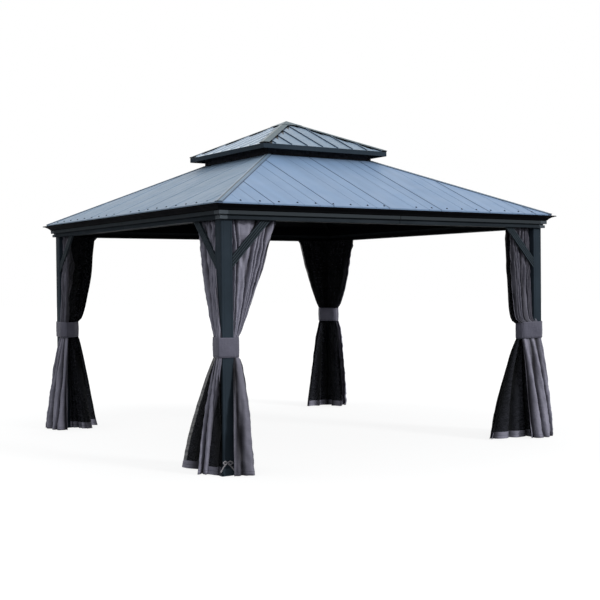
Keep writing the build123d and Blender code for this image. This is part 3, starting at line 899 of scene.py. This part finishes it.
def make_cloth(kind, corner, side, bundle, seed):
    """A curtain or a netting beside a post, and its points. A curtain has a thickness, and a netting
    a hem of the curtain's cloth."""
    keys, flat, grid, ragged, crumple = CLOTHS[kind]
    plan, height, valley = gathered_cloth(
        bundle, keys, flat, grid, tie_span(corner), seed, ragged, crumple)
    points = place_cloth(corner, side, plan, height)
    faces = cloth_faces(corner, side, grid)
    finishes, hem = [CURTAIN], None
    if kind == "netting":
        finishes = [NETTING, CURTAIN]
        hem = points[..., 2].ravel()[faces].max(1) < CLOTH_HEM + NETTING_HEM
    piece = make_piece(
        f"{kind}_{corner}_{side}", points, faces, finishes,
        "curtain_cloth", flat_map(grid, flat), hem, valley)
    if kind == "curtain":
        thicken(piece, CLOTH_T)
    return piece, points.reshape(-1, 3)


def make_bundle(corner, side, seed):
    """One curtain and one netting beside a post; returns the curtain and the points of both."""
    bundle = {**DEFAULT_BUNDLE, **BUNDLES[corner, side]}
    for key, track in TRACKS.items():
        bundle[key] = [(along, track) for along in bundle[key]]
    curtain, points = make_cloth("curtain", corner, side, bundle, seed)
    bundle["gather_below"] = bundle["net_flare"]
    _, net_points = make_cloth("netting", corner, side, bundle, seed)
    return curtain, np.concatenate([points, net_points])


TIE_GRID = (180, 15)
TIE_T = 0.002
TIE_ROOM = 0.003
TIE_CREASE = 0.0016
TIE_SWELL = 0.002
TIE_SWAY = 0.003
TIE_SEED = 900
HULL_STEPS = 720


def distances(line):
    """Distance of each point of a line from its first, along the line."""
    return np.concatenate([[0], np.cumsum(np.linalg.norm(np.diff(line, axis=0), axis=1))])


def make_tie(corner, cloth_points):
    """A band round the post and its bundles: the hull of their plan at the tie's height, found as the
    furthest point in each direction, rounded, and carried up with slight creases."""
    columns, rows = TIE_GRID
    low, high = tie_span(corner)
    sign = np.array(CORNER_SIGN[corner], float)
    held = cloth_points[(cloth_points[:, 2] > low) & (cloth_points[:, 2] < high)][:, :2]
    faces_of_post = (POST_IN, POST_OUT)
    post = sign * np.array([(x, y) for x in faces_of_post for y in faces_of_post])
    held = np.concatenate([held, post])
    angle = np.linspace(0, 2 * pi, HULL_STEPS, endpoint=False)
    direction = np.stack([np.cos(angle), np.sin(angle)], -1)
    hull = held[np.argmax(held @ direction.T, 0)] + direction * (TIE_T + TIE_ROOM)
    closed = np.concatenate([hull, hull[:1]])
    run = distances(closed)
    even = np.linspace(0, run[-1], columns, endpoint=False)
    loop = np.stack([np.interp(even, run, closed[:, axis]) for axis in (0, 1)], -1)
    outward = loop - loop.mean(0)
    outward /= np.linalg.norm(outward, axis=1, keepdims=True)
    turn = np.linspace(0, 1, columns, endpoint=False)[None, :]
    share = np.linspace(1, 0, rows)[:, None]
    seed = TIE_SEED + int(sign[0] * 2 + sign[1])
    wave = np.sin(2 * pi * turn) * 1.7 + share * 0.8
    crease = TIE_CREASE * smooth_noise(wave, seed, waves=6, low=1.0, high=4.0)
    swell = TIE_SWELL * np.sin(pi * share) + np.abs(crease)
    sway = TIE_SWAY * np.sin(2 * pi * turn + seed)
    plan = loop[None] + outward[None] * swell[..., None]
    height = low + (high - low) * share + sway
    points = np.concatenate([plan, np.broadcast_to(height, (rows, columns))[..., None]], -1)
    flat = (float(run[-1]), high - low)
    faces = grid_faces(rows, columns, wrap_columns=True)[:, ::-1]
    band = make_piece(
        f"tie_band_{corner}", points, faces, [TIE_CLOTH], "tie_cloth", flat_map(TIE_GRID, flat))
    thicken(band, TIE_T)
    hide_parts(f"tie_{corner}")


def make_soft_goods():
    """All bundles and ties, corner by corner."""
    seed = FIRST_SEED
    for corner in CORNER_SIGN:
        cloth = []
        for bundle_corner, side in BUNDLES:
            if bundle_corner == corner:
                curtain, points = make_bundle(corner, side, seed)
                cloth.append(points)
                seed += SEED_STEP
        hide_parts(f"curtains_{corner}")
        make_tie(corner, np.concatenate(cloth))


# Small fixings

# Profile of a roof screw: radius and height
SCREW_PROFILE = (
    (0.0, 0.0062), (0.0045, 0.0058), (0.0058, 0.0040),
    (0.0060, 0.0018), (0.0090, 0.0014), (0.0095, 0.0),
)
SCREW_SIDES = 14


def copied(shape, places):
    """Points and faces of a turned profile's grid, copied to each place."""
    rows, columns = shape.shape[:2]
    one = grid_faces(rows, columns, wrap_columns=True)
    first_of_copy = np.arange(len(places)) * rows * columns
    faces = (one[None] + first_of_copy[:, None, None]).reshape(-1, 4)
    return places[:, None, None, :] + shape, faces


def make_screws(side):
    """Washer-head screws in a row up from one eave: a profile turned about the roof's normal, at
    each place along the eave."""
    outward = np.array([*SIDE_OUT[side], 0.0])
    along = np.array([-outward[1], outward[0], 0.0])
    slope = radians(ROOF_PITCH)
    up_slope = -outward * cos(slope) + np.array([0, 0, sin(slope)])
    normal = outward * sin(slope) + np.array([0, 0, cos(slope)])
    eave = LIP_OUT - PANEL_SETBACK
    base = outward * eave + np.array([0, 0, EAVE_Z + PANEL_HEM]) + up_slope * SCREW_UP
    count = np.arange(1, SCREW_COUNT + 1) * SCREW_PITCH
    places = base + np.concatenate([-count[::-1], count])[:, None] * along
    profile = np.array(SCREW_PROFILE)
    turn = np.linspace(0, 2 * pi, SCREW_SIDES, endpoint=False)
    ring = np.cos(turn)[:, None] * along + np.sin(turn)[:, None] * up_slope
    shape = profile[:, 0, None, None] * ring + profile[:, 1, None, None] * normal
    make_piece(f"roof_screws_{side}", *copied(shape, places), [SCREW_COAT], "hip_cap_coat")


# Profile of an anchor bolt: radius, height and how far its outline is a hexagon
BOLT_PROFILE = (
    (0.0083, 0.0, 0), (0.0083, 0.0018, 0), (0.0080, 0.0018, 1),
    (0.0080, 0.0070, 1), (0.0066, 0.0078, 0), (0, 0.008, 0),
)
BOLT_SIDES = 24


def make_anchor_bolts(corner):
    """Bolts and washers through a foot plate: a profile turned about an upright axis, its radius
    drawn in between the corners of the head, at the four anchor places."""
    radius, height, hexagon = (np.array(column)[:, None] for column in zip(*BOLT_PROFILE))
    turn = np.linspace(0, 2 * pi, BOLT_SIDES, endpoint=False)
    drawn_in = cos(pi / 6) / np.cos(turn % (pi / 3) - pi / 6)
    reach = radius * (1 - hexagon * (1 - drawn_in))
    upright = np.broadcast_to(FOOT_PLATE_T + height, reach.shape)
    shape = np.stack([reach * np.cos(turn), reach * np.sin(turn), upright], -1)
    middle = np.array(CORNER_SIGN[corner]) * (POST_IN + POST_OUT) / 2
    square = np.array([(-1, -1), (1, -1), (1, 1), (-1, 1)]) * ANCHOR_SPACING / 2
    places = np.concatenate([middle + square, np.zeros((4, 1))], -1)
    make_piece(f"anchor_bolts_{corner}", *copied(shape, places), [SCREW_COAT], "foot_coat")


# Foot tapes: width and thickness, and a bow's path from tail to tail as (along the face, outwards
# from it, up), measured from the knot
TAPE_W = 0.011
TAPE_T = 0.0008
TAPE_GRID = (240, 3)
TAPE_SMOOTHING = 13
BOW_PATH = (
    (-0.070, 0.024, -0.066), (-0.036, 0.016, -0.024), (0.0, 0.007, 0.0), (-0.020, 0.012, 0.017),
    (-0.044, 0.018, 0.006), (-0.024, 0.016, -0.012), (0.0, 0.010, 0.0), (0.020, 0.015, 0.015),
    (0.046, 0.022, 0.000), (0.024, 0.019, -0.016), (0.0, 0.013, 0.0), (0.030, 0.020, -0.030),
    (0.062, 0.050, -0.084),
)
# Side and knot of each corner's bow: along the side from the post's inner face, and up
BOWS = {
    "front_left": ("front", -0.072, 0.097),
    "front_right": ("right", -0.070, 0.100),
    "back_right": ("right", -0.050, 0.105),
    "back_left": ("back", -0.060, 0.100),
}


def make_foot_tape(corner):
    """A flat tape tied in a bow at a foot: a line across the path, in the plane of the post's face,
    carried along a smoothed path through two loops and a knot."""
    side, knot_along, knot_up = BOWS[corner]
    columns, rows = TAPE_GRID
    path = np.array(BOW_PATH)
    run = distances(path)
    even = np.linspace(0, run[-1], columns)
    pad = TAPE_SMOOTHING // 2
    blur = np.ones(TAPE_SMOOTHING) / TAPE_SMOOTHING
    drawn = [np.interp(even, run, path[:, axis]) for axis in range(3)]
    line = np.stack([np.convolve(np.pad(values, pad, "edge"), blur, "valid") for values in drawn], -1)
    way = np.gradient(line, axis=0)
    sideways = np.stack([-way[:, 2], np.zeros(columns), way[:, 0]], -1)
    sideways /= np.linalg.norm(sideways, axis=1, keepdims=True)
    half = np.linspace(-0.5, 0.5, rows)[:, None, None] * TAPE_W
    local = line + half * sideways
    plan = np.stack([knot_along + local[..., 0], POST_OUT + local[..., 1]], -1)
    points = place_cloth(corner, side, plan, knot_up + local[..., 2])
    length = float(np.sum(np.linalg.norm(np.diff(line, axis=0), axis=1)))
    flat = (length, TAPE_W)
    tape = make_piece(
        f"foot_tape_{corner}", points, cloth_faces(corner, side, TAPE_GRID), [TAPE_CLOTH],
        "tie_cloth", flat_map(TAPE_GRID, flat))
    thicken(tape, TAPE_T)


VENT_GRID = (240, 9)
VENT_SETBACK = 0.0025
VENT_DRAW = 0.001


def make_vent_netting():
    """Netting stretched round the neck outside its posts: a square loop carried up from one ring to
    the other, drawn in a little halfway."""
    columns, rows = VENT_GRID
    turn = np.linspace(0, 2 * pi, columns, endpoint=False) + pi / 4
    half = RING_HALF - VENT_SETBACK
    low, high = RING_TOP, UPPER_RING_Z
    share = np.linspace(0, 1, rows)[:, None]
    run = 4 * turn / (2 * pi) % 4
    across, along = (np.clip(np.abs((run - start) % 4 - 2) * 2 - 2, -1, 1) for start in (0.0, 1.0))
    drawn = half - VENT_DRAW * np.sin(pi * share)
    height = np.broadcast_to(low + (high - low) * share, (rows, columns))
    points = np.stack([drawn * across, drawn * along, height], -1)
    flat = (8 * half, high - low)
    faces = grid_faces(rows, columns, wrap_columns=True)
    netting = make_piece(
        "vent_netting", points, faces, [VENT_NETTING], "curtain_cloth", flat_map(VENT_GRID, flat))


# Stage


def make_camera():
    """Camera with the solved place, turn and focal length."""
    yaw, pitch, roll = radians(CAMERA_YAW), radians(CAMERA_PITCH), radians(CAMERA_ROLL)
    ahead = np.array([sin(yaw) * cos(pitch), cos(yaw) * cos(pitch), sin(pitch)])
    level = np.array([cos(yaw), -sin(yaw), 0.0])
    down = np.cross(ahead, level)
    right = cos(roll) * level + sin(roll) * down
    drop = -sin(roll) * level + cos(roll) * down
    camera = bpy.data.objects.new("camera", bpy.data.cameras.new("camera"))
    camera.data.sensor_width = SENSOR_MM
    camera.data.lens = CAMERA_FOCAL_PX * SENSOR_MM / FRAME_PX
    turned = np.eye(4)
    turned[:3, :3] = np.stack([right, -drop, -ahead], -1)
    turned[:3, 3] = CAMERA_PLACE
    camera.matrix_world = Matrix(turned.tolist())
    bpy.context.scene.collection.objects.link(camera)
    bpy.context.scene.camera = camera


FLOOR_R = 60.0
FLOOR_RINGS = 24
FLOOR_SIDES = 48
# Floor's tint for rays that carry light and for rays that are seen, and its glow
FLOOR_LIT = (0.15, 0.15, 0.15)
FLOOR_SEEN = (0.8, 0.8, 0.8)
FLOOR_GLOW = 1.1
# Distances from the middle over which the floor turns white, and how white it is before
FLOOR_FADE = (2.4, 6.0)
FLOOR_WHITE = 0.78
SKY_LIGHT = 0.5
SKY_TINT = (0.94, 0.97, 1.0, 1)
# Strength, angle across and turn in degrees of each lamp
LAMPS = {"top": (0.6, 130.0, (0, 0, 0)), "key": (1.6, 12.0, (64, 0, 24))}


def seen_rays(tree):
    """1 for rays from the camera, reflections and refractions, and 0 for rays that carry light."""
    kinds = tree.nodes.new("ShaderNodeLightPath").outputs
    shown = maths(tree, "MAXIMUM", kinds["Is Camera Ray"], kinds["Is Glossy Ray"])
    return maths(tree, "MAXIMUM", shown, kinds["Is Transmission Ray"])


def make_floor():
    """A wide pale disc that keeps the shadow near the gazebo and fades to white far from it."""
    radius = FLOOR_R * np.linspace(0, 1, FLOOR_RINGS) ** 2
    turn = np.linspace(0, 2 * pi, FLOOR_SIDES, endpoint=False)
    level = np.zeros((FLOOR_RINGS, FLOOR_SIDES))
    points = np.stack([radius[:, None] * np.cos(turn), radius[:, None] * np.sin(turn), level], -1)
    faces = grid_faces(FLOOR_RINGS, FLOOR_SIDES, wrap_columns=True)
    mesh = bpy.data.meshes.new("floor")
    mesh.from_pydata(points.reshape(-1, 3).tolist(), [], faces.tolist())
    material, tree, shader = new_finish("pale_floor")
    seen = seen_rays(tree)
    tree.links.new(mixed(tree, seen, FLOOR_LIT, FLOOR_SEEN), shader.inputs["Base Color"])
    shader.inputs["Roughness"].default_value = 0.9
    shader.inputs["Specular IOR Level"].default_value = 0.0
    glow = add_node(tree, "Emission", Color=(1, 1, 1, 1), Strength=FLOOR_GLOW)
    place = tree.nodes.new("ShaderNodeTexCoord").outputs["Object"]
    far = add_node(tree, "VectorMath", {0: place})
    far.operation = "LENGTH"
    white = span(tree, far.outputs["Value"], *FLOOR_FADE, FLOOR_WHITE, 1.0)
    shown = maths(tree, "MULTIPLY", white, seen)
    mix = add_node(tree, "MixShader", {0: shown, 1: shader.outputs["BSDF"], 2: glow.outputs[0]})
    tree.links.new(mix.outputs[0], tree.nodes["Material Output"].inputs["Surface"])
    mesh.materials.append(material)
    floor = bpy.data.objects.new("floor", mesh)
    bpy.context.scene.collection.objects.link(floor)


def make_light():
    """White seen background, a dim even sky, a wide light from above and a key from the front right."""
    world = bpy.data.worlds.new("studio")
    bpy.context.scene.world = world
    world.use_nodes = True
    tree = world.node_tree
    sky = tree.nodes["Background"]
    sky.inputs["Color"].default_value = SKY_TINT
    sky.inputs["Strength"].default_value = SKY_LIGHT
    white = add_node(tree, "Background", Color=(1, 1, 1, 1), Strength=1.0)
    mix = add_node(tree, "MixShader", {0: seen_rays(tree), 1: sky.outputs[0], 2: white.outputs[0]})
    tree.links.new(mix.outputs[0], tree.nodes["World Output"].inputs["Surface"])
    for name, (strength, angle, turn) in LAMPS.items():
        lamp = bpy.data.objects.new(name, bpy.data.lights.new(name, "SUN"))
        lamp.data.energy = strength
        lamp.data.angle = radians(angle)
        lamp.rotation_euler = tuple(radians(degrees) for degrees in turn)
        bpy.context.scene.collection.objects.link(lamp)


make_camera()
dress_nodes()
make_soft_goods()
for roof_side in SIDE_OUT:
    make_screws(roof_side)
for foot_corner in CORNER_SIGN:
    make_anchor_bolts(foot_corner)
    make_foot_tape(foot_corner)
make_vent_netting()
make_floor()
make_light()
bpy.context.scene.view_settings.view_transform = "Standard"
